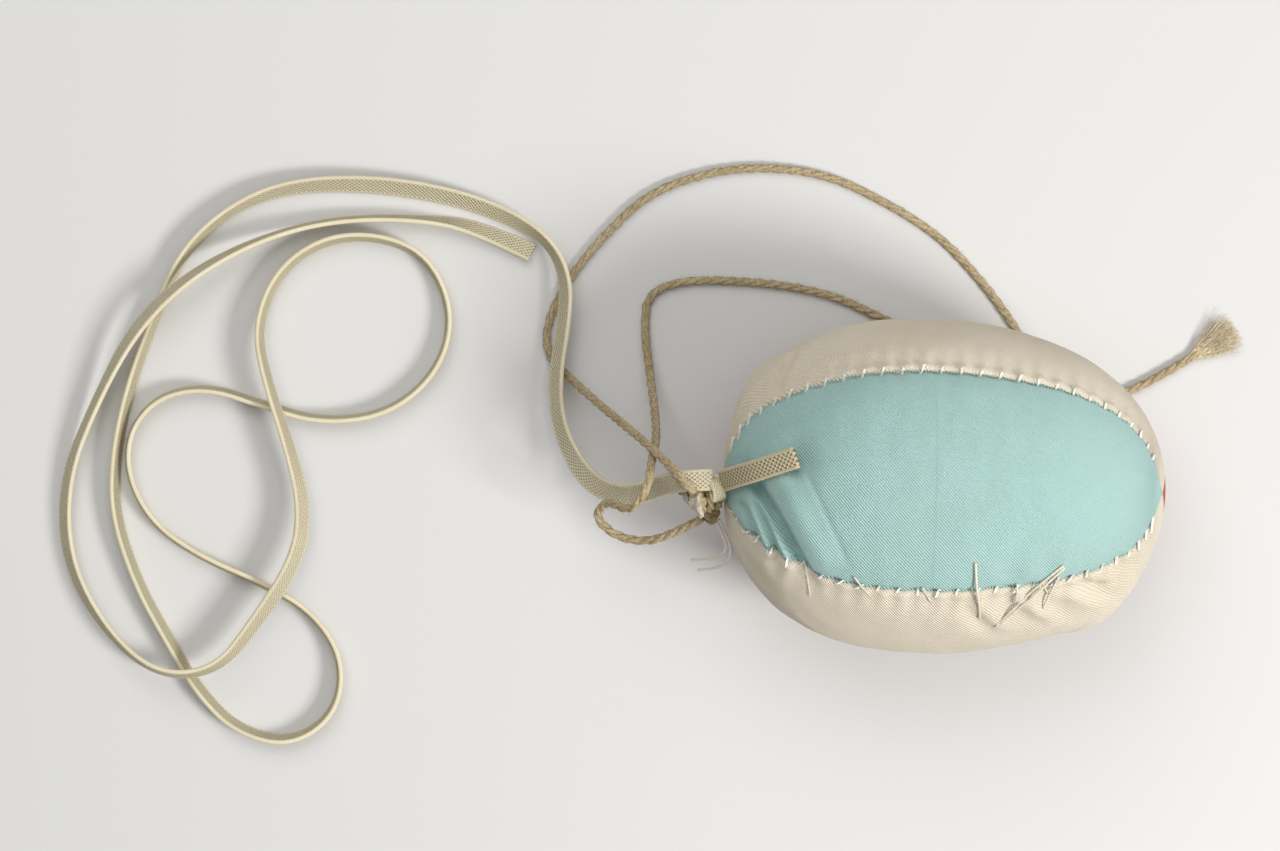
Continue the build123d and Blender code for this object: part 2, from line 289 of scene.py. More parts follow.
# ---------------------------------------------------------------- materials
class Nodes:
    """Short way to write a node material."""

    def __init__(self, name):
        self.material = bpy.data.materials.new(name)
        self.material.use_nodes = True
        self.tree = self.material.node_tree
        self.shader = self.tree.nodes["Principled BSDF"]

    def add(self, kind, **values):
        node = self.tree.nodes.new(kind)
        for key, value in values.items():
            if hasattr(node, key):
                setattr(node, key, value)
            else:
                node.inputs[key.replace("_", " ")].default_value = value
        return node

    def link(self, source, target):
        self.tree.links.new(source, target)

    def math(self, operation, first, second=None):
        node = self.add("ShaderNodeMath", operation=operation)
        for socket, value in zip(node.inputs, (first, second)):
            if value is None:
                continue
            if isinstance(value, (int, float)):
                socket.default_value = value
            else:
                self.link(value, socket)
        return node.outputs[0]

    def noise(self, coordinates, scale, detail=3.0, roughness=0.55):
        node = self.add("ShaderNodeTexNoise")
        node.inputs["Scale"].default_value = scale
        node.inputs["Detail"].default_value = detail
        node.inputs["Roughness"].default_value = roughness
        self.link(coordinates, node.inputs["Vector"])
        return node.outputs[0]

    def ramp(self, value, stops):
        node = self.add("ShaderNodeValToRGB")
        elements = node.color_ramp.elements
        while len(elements) < len(stops):
            elements.new(0.5)
        for element, (place, colour) in zip(elements, stops):
            element.position = place
            element.color = (*colour, 1)
        self.link(value, node.inputs[0])
        return node.outputs[0]

    def mix(self, kind, share, first, second):
        node = self.add("ShaderNodeMix", data_type="RGBA", blend_type=kind)
        for index, value in ((0, share), (6, first), (7, second)):
            if isinstance(value, (int, float)):
                node.inputs[index].default_value = value
            elif isinstance(value, tuple):
                node.inputs[index].default_value = (*value, 1)
            else:
                self.link(value, node.inputs[index])
        return node.outputs[2]

    def bump(self, height, strength, distance):
        node = self.add("ShaderNodeBump")
        node.inputs["Strength"].default_value = strength
        node.inputs["Distance"].default_value = distance
        self.link(height, node.inputs["Height"])
        self.link(node.outputs[0], self.shader.inputs["Normal"])


def cloth_place(nodes, flat):
    """Place on the cloth: its own metres along and across, or the frame's for a hidden layer."""
    if flat:
        place = nodes.add("ShaderNodeAttribute", attribute_name="weave").outputs["Vector"]
    else:
        place = nodes.add("ShaderNodeTexCoord").outputs["Object"]
    split = nodes.add("ShaderNodeSeparateXYZ")
    nodes.link(place, split.inputs[0])
    return place, split.outputs[0], split.outputs[1]


def twill(name, base, stain, stain_share=0.5, flat=True):
    """Diagonal twill with slubs, faint stains and specks."""
    n = Nodes(name)
    uv, along, across = cloth_place(n, flat)
    lines = n.math("ADD", along, n.math("MULTIPLY", across, 0.9))
    diagonal = n.math("SINE", n.math("MULTIPLY", lines, 2 * math.pi / TWILL_SPACING))
    crossing = n.math("SINE", n.math("MULTIPLY", n.math("SUBTRACT", along, across),
                                     2 * math.pi / TWILL_CROSSING))
    weave = n.math("ADD", n.math("MULTIPLY", diagonal, 0.62), n.math("MULTIPLY", crossing, 0.25))
    slubs = n.noise(uv, 900, 2.0)
    height = n.math("ADD", weave, n.math("MULTIPLY", slubs, 0.9))
    shade = n.math("ADD", n.math("MULTIPLY", height, 0.30), 0.46)
    dark = tuple(c * 0.70 for c in base)
    light = tuple(min(1.0, c * 1.09) for c in base)
    colour = n.ramp(shade, [(0.15, dark), (0.55, base), (0.9, light)])
    patches = n.ramp(n.noise(uv, 34, 4.0, 0.6), [(0.42, (1, 1, 1)), (0.78, stain)])
    colour = n.mix("MULTIPLY", stain_share, colour, patches)
    spots = n.ramp(n.noise(uv, 150, 3.0), [(0.70, (1, 1, 1)), (0.82, (0.80, 0.76, 0.68))])
    colour = n.mix("MULTIPLY", 0.7, colour, spots)
    n.link(colour, n.shader.inputs["Base Color"])
    n.shader.inputs["Roughness"].default_value = 0.88
    n.shader.inputs["Specular IOR Level"].default_value = 0.22
    n.shader.inputs["Sheen Weight"].default_value = 0.12
    n.shader.inputs["Sheen Roughness"].default_value = 0.6
    n.bump(height, 0.8, 0.00028)
    return n.material


def woven_tape(name, base, dark, bite, cells):
    """Narrow tape. Its weave runs in metres along, and from 0 to 1 across the face."""
    cells_across, cell_length = cells
    n = Nodes(name)
    uv, along, across = cloth_place(n, True)
    columns = n.math("SINE", n.math("MULTIPLY", across, 2 * math.pi * cells_across))
    rows = n.math("SINE", n.math("MULTIPLY", along, 2 * math.pi / cell_length))
    cells = n.math("MULTIPLY", columns, rows)
    edge = n.math("ABSOLUTE", n.math("SUBTRACT", across, 0.5))
    selvedge = n.math("GREATER_THAN", edge, 0.40)
    inner = n.math("SUBTRACT", 1.0, selvedge)
    height = n.math("MULTIPLY", cells, inner)
    fuzz = n.noise(uv, 1400, 2.0)
    height = n.math("ADD", height, n.math("MULTIPLY", fuzz, 0.5))
    shade = n.math("ADD", n.math("MULTIPLY", height, 0.36), 0.40)
    light = tuple(min(1.0, c * 1.12) for c in base)
    colour = n.ramp(shade, [(bite, dark), (bite + 0.2, base), (0.85, light)])
    wear = n.ramp(n.noise(uv, 45, 3.0), [(0.40, (1, 1, 1)), (0.80, (0.83, 0.79, 0.68))])
    colour = n.mix("MULTIPLY", 0.7, colour, wear)
    n.link(colour, n.shader.inputs["Base Color"])
    n.shader.inputs["Roughness"].default_value = 0.82
    n.shader.inputs["Specular IOR Level"].default_value = 0.25
    n.bump(height, 0.8, 0.0004)
    return n.material


def fibre(name, base, dark, scale):
    """Spun thread or twine, streaked along its length."""
    n = Nodes(name)
    place = n.add("ShaderNodeTexCoord").outputs["Object"]
    streaks = n.noise(place, scale, 4.0, 0.65)
    light = tuple(min(1.0, c * 1.22) for c in base)
    colour = n.ramp(streaks, [(0.30, dark), (0.52, base), (0.72, light)])
    broad = n.ramp(n.noise(place, 60, 2.0), [(0.35, (0.80, 0.76, 0.70)), (0.65, (1, 1, 1))])
    n.link(n.mix("MULTIPLY", 0.6, colour, broad), n.shader.inputs["Base Color"])
    n.shader.inputs["Roughness"].default_value = 0.85
    n.shader.inputs["Specular IOR Level"].default_value = 0.2
    n.bump(streaks, 0.5, 0.00012)
    return n.material


AQUA = twill("aqua_twill", (0.395, 0.600, 0.555), (0.82, 0.84, 0.80), 0.4)
CREAM = twill("cream_twill", (0.765, 0.680, 0.535), (0.86, 0.80, 0.70), 0.5)
RED = twill("red_twill", (0.46, 0.060, 0.035), (0.80, 0.72, 0.70), 0.5)
MUSLIN = twill("muslin", (0.70, 0.65, 0.53), (0.86, 0.80, 0.70), 0.5, False)
TAPE = woven_tape("cotton_tape", (0.70, 0.63, 0.45), (0.36, 0.30, 0.19), 0.18, TAPE_CELLS)
# The tail is the same tape as the long run. Its copy here is darker all over and darker in its
# cells, which is painted shade.
SHADED_TAIL_TAPE = woven_tape("shaded_tail_tape", (0.62, 0.54, 0.36), (0.19, 0.15, 0.085), 0.24, TAIL_CELLS)
TWINE_FIBRE = fibre("twine_fibre", (0.44, 0.355, 0.215), (0.21, 0.155, 0.085), 1300)
FRAY_FIBRE = fibre("fray_fibre", (0.70, 0.61, 0.43), (0.40, 0.31, 0.19), 1300)
THREAD = fibre("sewing_thread", (0.86, 0.83, 0.76), (0.62, 0.58, 0.50), 2600)
PALE_THREAD = fibre("pale_thread", (0.74, 0.69, 0.58), (0.44, 0.38, 0.28), 2600)
HERBS = fibre("dried_herbs", (0.22, 0.20, 0.10), (0.09, 0.08, 0.04), 420)


# ---------------------------------------------------------------- the ball
def fullness(x):
    reach = BALL_TO_FAR_END if x > BALL_WIDEST_X else BALL_TO_NECK
    along = min(1.0, abs(x - BALL_WIDEST_X) / reach)
    return (1 - along ** BALL_FULLNESS) ** (1 / BALL_FULLNESS)


def near(value, middle, reach):
    """Bell curve: 1 at the middle, fading over the reach."""
    return math.exp(-(((value - middle) / reach) ** 2))


def seam_relief(x, angle):
    """Depth beside the seams: the cream gores' rolled edges lie over the coloured gores."""
    depth = 0.0
    for seam, cream_side in SEAMS:
        gap = (angle - seam + 180) % 360 - 180
        away = math.radians(gap) * cream_side * BALL_RADIUS * fullness(x) / MM
        if abs(away) > 22:
            continue
        pull = 0.5 + 0.5 * math.cos(2 * math.pi * x / STITCH_PITCH)
        depth -= (0.50 - 0.30 * pull) * near(away, 1.4, 1.0)
        depth += (1.2 + 0.5 * pull) * near(away, -0.6, 0.8)
        depth += 0.55 * pull * near(away, 3.0, 5.0) + 0.8 * near(away, 0.0, 5.0)
    return depth


def beside_line(x_mm, y_mm, start, end):
    """Distance across a line drawn on the ball in plan, and the share of its length passed."""
    run = (end[0] - start[0], end[1] - start[1])
    length = math.hypot(*run)
    away = (x_mm - start[0], y_mm - start[1])
    across = (run[0] * away[1] - run[1] * away[0]) / length
    return across, (run[0] * away[0] + run[1] * away[1]) / length ** 2


def fade_past_ends(share):
    """1 along a line, fading before its start and after its end."""
    return smoothstep(-0.25, 0.12, share) * (1 - smoothstep(0.85, 1.25, share))


def line_fold(x_mm, y_mm, start, end, width):
    """1 in the bottom of a fold along a line in plan, fading at its sides and past its ends."""
    across, share = beside_line(x_mm, y_mm, start, end)
    return near(across, 0, width) * fade_past_ends(share)


def fold_wall(x_mm, y_mm, start, end, hollow):
    """A hollow that deepens towards a line in plan, and ends beyond it in a steep wall."""
    across, share = beside_line(x_mm, y_mm, start, end)
    low = smoothstep(-hollow, -0.4, across) * (1 - smoothstep(-0.4, 1.3, across))
    return low * fade_past_ends(share)


def gathers(x, angle):
    """Depth of the folds that run out from the neck, and of those by the far end."""
    x_mm = x / MM
    turn = math.radians(angle)
    y_mm = BALL_RADIUS / MM * fullness(x) * math.sin(turn)
    from_neck = x_mm - (BALL_WIDEST_X - BALL_TO_NECK) / MM
    depth = 0.8 * near(from_neck, 0, 15) * (0.5 + 0.5 * math.cos(turn * 19 + from_neck * 0.10))
    from_far = (BALL_WIDEST_X + BALL_TO_FAR_END) / MM - x_mm
    depth += 0.4 * near(from_far, 0, 10) * (0.5 + 0.5 * math.cos(turn * 15))
    if abs(angle) < 60:
        # The long fold, the swell beyond it, and the pleats on its neck side. The last is the
        # shallow hollow past the end of the tape's tail.
        depth += 7.0 * fold_wall(x_mm, y_mm, *LONG_FOLD, 6.0)
        depth -= 1.8 * line_fold(x_mm, y_mm, *SWELL_BEYOND, 3.6)
        depth -= 1.3 * line_fold(x_mm, y_mm, *RIDGE_BEFORE, 1.3)
        depth += 3.6 * fold_wall(x_mm, y_mm, *SECOND_FOLD, 3.0)
        depth += 2.8 * fold_wall(x_mm, y_mm, *THIRD_FOLD, 2.6)
        depth += 1.6 * line_fold(x_mm, y_mm, *SHORT_PLEAT, 0.9)
        depth += 0.5 * line_fold(x_mm, y_mm, *FAINT_LINE, 0.8)
        depth += 2.6 * near(math.hypot((x_mm + 42) / 6.0, (y_mm - 8) / 6.5), 0, 1)
    # The dart in the back gore near the neck
    dart = math.hypot((x_mm + 45 - (angle - 55) * 0.2) / 1.6, (angle - 62) / 12.0)
    depth += 2.2 * near(dart, 0, 1)
    return depth


def front_wrinkles(x, angle):
    """Puckers that run down from the front seam towards the far end."""
    x_mm = x / MM
    band = near(angle, -50, 11) * smoothstep(4, 18, x_mm) * (1 - smoothstep(56, 68, x_mm))
    slanted = x_mm + (angle + 50) * 0.55
    depth = band * 1.9 * (0.5 + 0.5 * math.cos(slanted * 0.50))
    depth += band * 0.4 * (0.5 + 0.5 * math.cos(slanted * 0.87 + 1.0))
    depth += 1.3 * near(angle + 47 + (x_mm - 48) * 0.5, 0, 3.0) * near(x_mm, 46, 12)
    depth += 1.0 * near(angle + 62 - (x_mm - 30) * 0.6, 0, 3.0) * near(x_mm, 32, 9)
    side = near(angle, -30, 6) * smoothstep(8, 20, x_mm) * (1 - smoothstep(40, 55, x_mm))
    return depth + side * 0.7 * (0.5 + 0.5 * math.cos(x_mm * 0.55))


def creases(x, angle):
    """How far the cloth lies below the plain stuffed shape. Less than nothing stands proud."""
    angle = (angle + 180) % 360 - 180
    depth = seam_relief(x, angle) + gathers(x, angle) + front_wrinkles(x, angle)
    # The blunt corner by the neck at the back, and the corner by the far end at the front
    depth -= 5.0 * near(x / MM, -54, 9) * near(angle, 80, 40)
    depth -= 4.5 * near(x / MM, 56, 12) * near(angle, -88, 32)
    turn = math.radians(angle)
    spot = Vector((x * 38, math.sin(turn) * 1.4, math.cos(turn) * 1.4))
    depth += 0.7 * (0.5 + 0.5 * noise.noise(spot * 1.3)) + 0.22 * noise.noise(spot * 4.5)
    return depth * MM


def far_end_x(out):
    """Place along the far half of the plain ball at a distance from its long axis."""
    share = min(1.0, out / BALL_RADIUS)
    return BALL_WIDEST_X + BALL_TO_FAR_END * (1 - share ** BALL_FULLNESS) ** (1 / BALL_FULLNESS)


def ball_point(x, angle, lower=0.0):
    """Point on the cloth at a place along the ball and an angle about its long axis."""
    a = math.radians(angle)
    size = fullness(x)
    reach = BALL_RADIUS * size - creases(x, angle) * min(1.0, size * 2.2)
    reach = max(reach - lower * min(1.0, size * 3), 0.0)
    point = Vector((x, reach * math.sin(a), BALL_CENTRE_Z + reach * math.cos(a)))
    # The gores meet above the far end's middle, so a sliver of the bottom gore shows there
    if x > 0 and reach < 3 * FAR_MEETING_REACH:
        point.z += FAR_MEETING_LIFT * near(reach, 0, FAR_MEETING_REACH)
        moved = math.hypot(point.y, point.z - BALL_CENTRE_Z)
        point.x += far_end_x(moved) - far_end_x(reach)
    point.z = max(point.z, lower)
    return point


def along_places(count):
    """Places along the ball, closer together towards both poles."""
    places = []
    for i in range(count + 1):
        c = -math.cos(math.pi * i / count)
        reach = BALL_TO_FAR_END if c > 0 else BALL_TO_NECK
        places.append(BALL_WIDEST_X + math.copysign(abs(c) ** (2 / BALL_FULLNESS), c) * reach)
    return places


def gore(name, first, last, material, node, along=300, across=120):
    """One gore of cloth with its own thickness, over its share of the ball."""
    xs = along_places(along)
    points, places = [], []
    for lower in (0.0, CLOTH):
        run = 0.0
        for i, x in enumerate(xs):
            if i:
                run += math.hypot(x - xs[i - 1], BALL_RADIUS * (fullness(x) - fullness(xs[i - 1])))
            for j in range(across + 1):
                angle = first + (last - first) * j / across
                points.append(ball_point(x, angle, lower))
                wide = math.radians(angle - (first + last) / 2) * BALL_RADIUS * fullness(x)
                places.append((run, wide))
    row = across + 1
    layer = (along + 1) * row
    faces = []
    for i in range(along):
        for j in range(across):
            a = i * row + j
            faces.append((a, a + row, a + row + 1, a + 1))
            faces.append((layer + a, layer + a + 1, layer + a + row + 1, layer + a + row))
    for i in range(along):
        for j, flip in ((0, False), (across, True)):
            a = i * row + j
            face = (a, layer + a, layer + a + row, a + row)
            faces.append(face[::-1] if flip else face)
    thing = mesh_object(name, points, faces, material)
    set_weave(thing, places)
    take_place(thing, node)


def inner_layer(name, lowers, material, node, along=200, around=360):
    """Closed skin, or two with cloth between them, that follows the gores from inside."""
    xs = along_places(along)[1:-1]
    parts = []
    for number, lower in enumerate(lowers):
        rings = np.array([[tuple(ball_point(x, 360 * j / around, lower)) for j in range(around)]
                          for x in xs])
        points, faces = tube_mesh(rings)
        parts.append((points, [face[::-1] for face in faces] if number else faces))
    points, faces = joined(parts)
    return take_place(mesh_object(name, points, faces, material), node)


def seam_places():
    """Places along any of the seams, one stitch pitch apart, clear of both poles."""
    places, run, step = [], 0.0, 0.2 * MM
    x = BALL_WIDEST_X - BALL_TO_NECK + step
    while x < BALL_WIDEST_X + BALL_TO_FAR_END - step:
        drop = BALL_RADIUS * (fullness(x + step) - fullness(x))
        run += math.hypot(step, drop)
        x += step
        if run >= STITCH_PITCH and fullness(x) > 0.3:
            places.append(x)
            run = 0.0
    return places


def whip_stitches(name, angle, seed, loose):
    """Short slanted threads over a seam, with their ends in the cloth. Some lie sunk in it."""
    pick = random.Random(seed)
    parts = []
    for x in seam_places():
        reach = BALL_RADIUS * fullness(x)
        half = math.degrees((STITCH_HALF + pick.uniform(-0.5, 0.6) * loose) * MM / reach)
        slant = pick.uniform(0.2, 1.5) * loose * MM
        sunk = STITCH_SUNK_DEPTH if pick.random() < STITCH_SUNK_SHARE else 0.0
        line = []
        for k in range(9):
            t = -1 + k / 4
            rise = 0.55 * (1 - t * t) - 0.5 * abs(t) ** 3
            spot = ball_point(x + slant * t, angle + half * t)
            outward = Vector((0, math.sin(math.radians(angle)), math.cos(math.radians(angle))))
            line.append(spot + outward * (rise + 0.25 - sunk) * MM)
        parts.append(thin_thread(line, 0.24 * MM, 7))
        shifted = [p + Vector((0.34 * MM, 0, 0)) for p in line]
        parts.append(thin_thread(shifted, 0.20 * MM, 7))
    points, faces = joined(parts)
    take_place(mesh_object(name + "_laid", points, faces, THREAD), name)


def seam_tails():
    """Loose ends of sewing thread on the gores, each one lying over the cloth."""
    lines = [
        ([(-37, -36), (-36, -42), (-35, -49)], 0.26),
        ([(-23, -33), (-20, -38), (-17, -42)], 0.30),
        ([(-3, -35), (-1, -39), (0, -42)], 0.26),
        ([(12, -25), (12.6, -33), (14.4, -43), (15.2, -52)], 0.42),
        ([(25, -35), (25.4, -40), (25, -45)], 0.28),
        ([(38.5, -29), (31, -38), (25, -47), (20, -56)], 0.42),
        ([(38.9, -30), (32, -39.5), (26, -48), (21.5, -54)], 0.40),
        ([(37.5, -34), (35.6, -42), (34, -50)], 0.40),
        ([(32.5, -37), (34.2, -41), (35.5, -44)], 0.34),
    ]
    parts = []
    for places, radius in lines:
        spots = []
        for k, (x, angle) in enumerate(places):
            lift = 0.5 + 0.9 * math.sin(math.pi * k / (len(places) - 1))
            out = Vector((0, math.sin(math.radians(angle)), math.cos(math.radians(angle))))
            spots.append(ball_point(x * MM, angle) + out * lift * MM)
        parts.append(thin_thread(nurbs_line(spots, 10), radius * MM, 7, 0.25))
    points, faces = joined(parts)
    tails = mesh_object("seam_thread_tails_laid", points, faces, PALE_THREAD)
    take_place(tails, "seam_thread_tails")


def make_ball():
    gore("gore_top", SEAM_TOP_FRONT, SEAM_TOP_BACK, AQUA, "panel_top")
    gore("gore_back", SEAM_TOP_BACK, SEAM_BOTTOM_BACK, CREAM, "panel_back")
    gore("gore_front", SEAM_BOTTOM_FRONT, SEAM_TOP_FRONT, CREAM, "panel_front")
    gore("gore_bottom", SEAM_BOTTOM_BACK, SEAM_BOTTOM_FRONT + 360, RED, "panel_bottom")
    outer = CLOTH + LAYER_GAP
    inner_layer("lining_cloth", (outer, outer + LINING), MUSLIN, "lining_bag")
    stuffing = outer + LINING + LAYER_GAP
    inner_layer("packed_herbs", (stuffing,), HERBS, "herb_filling")
    whip_stitches("stitches_top_back", SEAM_TOP_BACK, 11, 0.5)
    whip_stitches("stitches_top_front", SEAM_TOP_FRONT, 12, 1.0)
    whip_stitches("stitches_bottom_back", SEAM_BOTTOM_BACK, 13, 0.6)
    whip_stitches("stitches_bottom_front", SEAM_BOTTOM_FRONT, 14, 0.6)
    seam_tails()


# ---------------------------------------------------------------- tape
def ribbon(points, turns, cells):
    """Flat woven strip with raised cells and scalloped edges."""
    cells_across, cell_length = cells
    direction, side, up = frames_along(points)
    run = run_along(points)
    columns = 17
    rings, us, vs = [], [], []
    for i, point in enumerate(points):
        turn = math.radians(turns[i])
        across = math.cos(turn) * up[i] + math.sin(turn) * side[i]
        normal = np.cross(direction[i], across)
        ring, u, v = [], [], []
        for face in (1, -1):
            for k in range(columns):
                t = k / (columns - 1) if face == 1 else 1 - k / (columns - 1)
                edge = abs(t - 0.5) * 2
                scallop = 0.10 * MM * math.cos(2 * math.pi * run[i] / cell_length) * (edge > 0.98)
                cell = (math.sin(2 * math.pi * t * cells_across)
                        * math.sin(2 * math.pi * run[i] / cell_length))
                relief = (0.09 * cell if edge < 0.8 else 0.12) * MM
                half = TAPE_THICKNESS / 2 * (1 - 0.35 * smoothstep(0.86, 1.0, edge)) + relief
                out = (t - 0.5) * TAPE_WIDTH + math.copysign(scallop, t - 0.5)
                ring.append(point + across * out + normal * face * half)
                u.append(run[i])
                v.append(t)
        rings.append(ring)
        us.append(u)
        vs.append(v)
    points_out, faces = tube_mesh(np.array(rings))
    return points_out, faces, np.stack([np.array(us).ravel(), np.array(vs).ravel()], axis=1)


def strip_object(name, points, turns, material, cells):
    mesh_points, faces, places = ribbon(points, turns, cells)
    thing = mesh_object(name, mesh_points, faces, material)
    set_weave(thing, places)
    return thing


def settled_height(line, turns):
    """A leaning strip needs less height than one on its edge, so it rests that much lower."""
    settled = line.copy()
    for i, turn in enumerate(turns):
        lean = math.radians(turn)
        need = abs(math.cos(lean)) * TAPE_WIDTH / 2 + abs(math.sin(lean)) * TAPE_THICKNESS / 2
        drop = max(0.0, EDGE * MM - need - FLOOR_GAP)
        settled[i, 2] -= drop * (1 - smoothstep(14 * MM, 30 * MM, line[i, 2]))
    return settled


def make_tape():
    line = nurbs_line(in_metres(TAPE_ROUTE), TAPE_RESOLUTION)
    turns = nurbs_line([(place[3], 0, 0) for place in TAPE_ROUTE], TAPE_RESOLUTION)[:, 0]
    line = settled_height(line, turns)
    strip = strip_object("tape_long_run", line, turns, TAPE, TAPE_CELLS)
    tape = take_place(strip, "tape_long")


def make_tape_tail():
    """The short free end, curving up from the knot."""
    start = TAIL_ROOT - Vector((0.3, 0.1, 1.2)) * MM
    line = nurbs_line([start, TAIL_ROOT, TAIL_BEND, TAIL_MIDDLE, TAIL_TIP], 24)
    tail = strip_object("tape_tail_end", line, [TAIL_TURN] * len(line), SHADED_TAIL_TAPE,
                        TAIL_CELLS)
    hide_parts("tape_tail")
    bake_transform(tail)


# ---------------------------------------------------------------- twine
def twisted(points, diameter, strands=3, pitch=TWINE_PITCH, around=12):
    """Strands laid round each other along a line, to the full diameter."""
    _, side, up = frames_along(points)
    run = run_along(points)
    strand_radius = diameter * 0.29
    lay = diameter / 2 - strand_radius
    parts = []
    for strand in range(strands):
        phase = 2 * math.pi * (strand / strands + run / pitch)
        centre = points + lay * (np.cos(phase)[:, None] * side + np.sin(phase)[:, None] * up)
        parts.append(tube_mesh(round_rings(centre, strand_radius, side, up, around)))
    return parts


def stray_fibres(points, diameter, count, seed):
    """Short hairs that stand out of a twine."""
    pick = random.Random(seed)
    direction, side, up = frames_along(points)
    parts = []
    for _ in range(count):
        i = pick.randrange(3, len(points) - 3)
        turn = pick.uniform(0, 2 * math.pi)
        out = side[i] * math.cos(turn) + up[i] * math.sin(turn)
        if out[2] < -0.2 and points[i][2] < 2 * MM:
            out = -out
        start = points[i] + out * diameter * 0.46
        reach = pick.uniform(0.5, 1.5) * MM
        middle = start + (out * 0.55 + direction[i] * pick.uniform(-0.5, 0.8)) * reach
        tip = middle + (out * 0.25 + direction[i] * pick.uniform(-0.7, 0.9)) * reach
        parts.append(thin_thread([start, middle, tip], 0.045 * MM, 4, 0.5))
    return parts


def make_twine(name, route, node, seed):
    line = nurbs_line(in_metres(route), TWINE_RESOLUTION)
    hairs = stray_fibres(line, TWINE, int(len(line) * 0.5), seed)
    points, faces = joined(twisted(line, TWINE) + hairs)
    twine = take_place(mesh_object(name, points, faces, TWINE_FIBRE), node)


def quadratic(a, b, c, steps=5):
    """Curve of a single fibre between its two ends."""
    shares = [i / steps for i in range(steps + 1)]
    return [a * (1 - t) ** 2 + b * 2 * t * (1 - t) + c * t * t for t in shares]


def make_fray():
    """Brush of loosened fibres past the end of the long twine."""
    pick = random.Random(7)
    start = Vector(TWINE_LONG_ROUTE[-1]) * MM
    run = (start - Vector(TWINE_LONG_ROUTE[-2]) * MM).normalized()
    side = run.cross(Vector((0, 0, 1))).normalized()
    parts = []
    for _ in range(520):
        spread = pick.gauss(0, 1)
        tall = abs(pick.gauss(0, 1))
        length = pick.uniform(9.5, 15.0) * MM
        root = start - run * 3.5 * MM
        root += side * pick.uniform(-1, 1) * MM
        root += Vector((0, 0, pick.uniform(-0.7, 0.8) * MM))
        middle = start + run * length * 0.45 + side * spread * 1.7 * MM
        middle.z = start.z + (0.4 * tall + 0.1) * MM
        tip = start + run * length + side * (spread * 2.7 + pick.uniform(-0.8, 0.8)) * MM
        tip.z = max(0.25 * MM, start.z + (pick.uniform(-0.9, 1.6) + 0.7 * tall) * MM)
        parts.append(thin_thread(quadratic(root, middle, tip), 0.10 * MM, 4, 0.5))
    points, faces = joined(parts)
    fray = mesh_object("twine_fray_brush", points, faces, FRAY_FIBRE)
    return take_place(fray, "twine_fray")


# ---------------------------------------------------------------- the neck
def at_neck(along, turn=0.0, out=0.0):
    """Point round the neck: along its axis, at a turn from upright, at a distance out."""
    a = math.radians(turn)
    outward = NECK_UP * math.cos(a) + NECK_SIDE * math.sin(a)
    return NECK_ORIGIN + NECK_AXIS * along + outward * out


def make_tuft():
    """Gathered cloth in folds, pinched by the wraps and flared past them."""
    profile = [(0.5, 4.6), (2.5, 3.7), (6, 3.5), (10, 3.4), (11.6, 3.2), (12.6, 2.9), (13.4, 3.3),
               (14.6, 4.0), (15.8, 4.0), (16.6, 2.9), (16.9, 1.2), (16.2, 0.5)]
    rings = []
    around = 96
    for along, radius in profile:
        free = smoothstep(11.6, 15.8, along)
        ring = []
        for j in range(around):
            turn = math.radians(360 * j / around)
            fold = 0.10 * math.cos(turn * 7 + 0.6) + 0.05 * math.cos(turn * 16)
            depth = radius * (1 + fold * (0.4 + 0.8 * free))
            reach = along + 0.7 * free * math.cos(turn * 2 + 0.5)
            spot = at_neck(reach * MM, 360 * j / around, depth * MM) + TUFT_LEAN * free
            ring.append(tuple(spot))
        rings.append(ring)
    points, faces = tube_mesh(np.array(rings))
    tuft = mesh_object("neck_tuft_cloth", points, faces, CREAM)
    set_weave(tuft, [(ring * 1.3 * MM, place * 0.28 * MM)
                     for ring in range(len(profile)) for place in range(around)])
    finer = tuft.modifiers.new("finer", "SUBSURF")
    finer.levels = finer.render_levels = 1
    take_place(tuft, "neck_tuft")


def coil(radius, first, pitch, turns, per_turn=90):
    """Line of a winding round the neck."""
    shares = [i / per_turn for i in range(int(turns * per_turn) + 1)]
    return np.array([tuple(at_neck(first + pitch * t, 360 * t + 200, radius)) for t in shares])


def laid_coil(name, node, radius, first, pitch, turns, diameter, material, strands=3):
    """Thread or twine wound round the neck."""
    line = coil(radius, first, pitch, turns)
    direction = np.gradient(line, axis=0)
    direction /= np.linalg.norm(direction, axis=1)[:, None]
    side = np.cross(direction, np.array(NECK_AXIS))
    side /= np.linalg.norm(side, axis=1)[:, None]
    up = np.cross(side, direction)
    run = run_along(line)
    thick = diameter * 0.27
    parts = []
    for strand in range(strands):
        phase = 2 * math.pi * (strand / strands + run / (diameter * 3.3))
        centre = line + (diameter / 2 - thick) * (
            np.cos(phase)[:, None] * side + np.sin(phase)[:, None] * up)
        parts.append(tube_mesh(round_rings(centre, thick, side, up, 10)))
    points, faces = joined(parts)
    take_place(mesh_object(name, points, faces, material), node)


def make_twine_knot():
    """Overhand knot: a trefoil line, thickened with laid strands."""
    box_low, box_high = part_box("twine_knot")
    centre = (Vector(box_low) + Vector(box_high)) / 2
    size = (Vector(box_high) - Vector(box_low)).x / 2 - TWINE * 0.42
    line = []
    for i in range(141):
        t = 2 * math.pi * i / 140
        spot = Vector((math.sin(t) + 2 * math.sin(2 * t), math.cos(t) - 2 * math.cos(2 * t),
                       -1.4 * math.sin(3 * t)))
        line.append(tuple(centre + spot * size / 3))
    parts = twisted(np.array(line), TWINE * 0.85, around=8)
    points, faces = joined(parts)
    take_place(mesh_object("twine_knot_loops", points, faces, TWINE_FIBRE), "twine_knot")


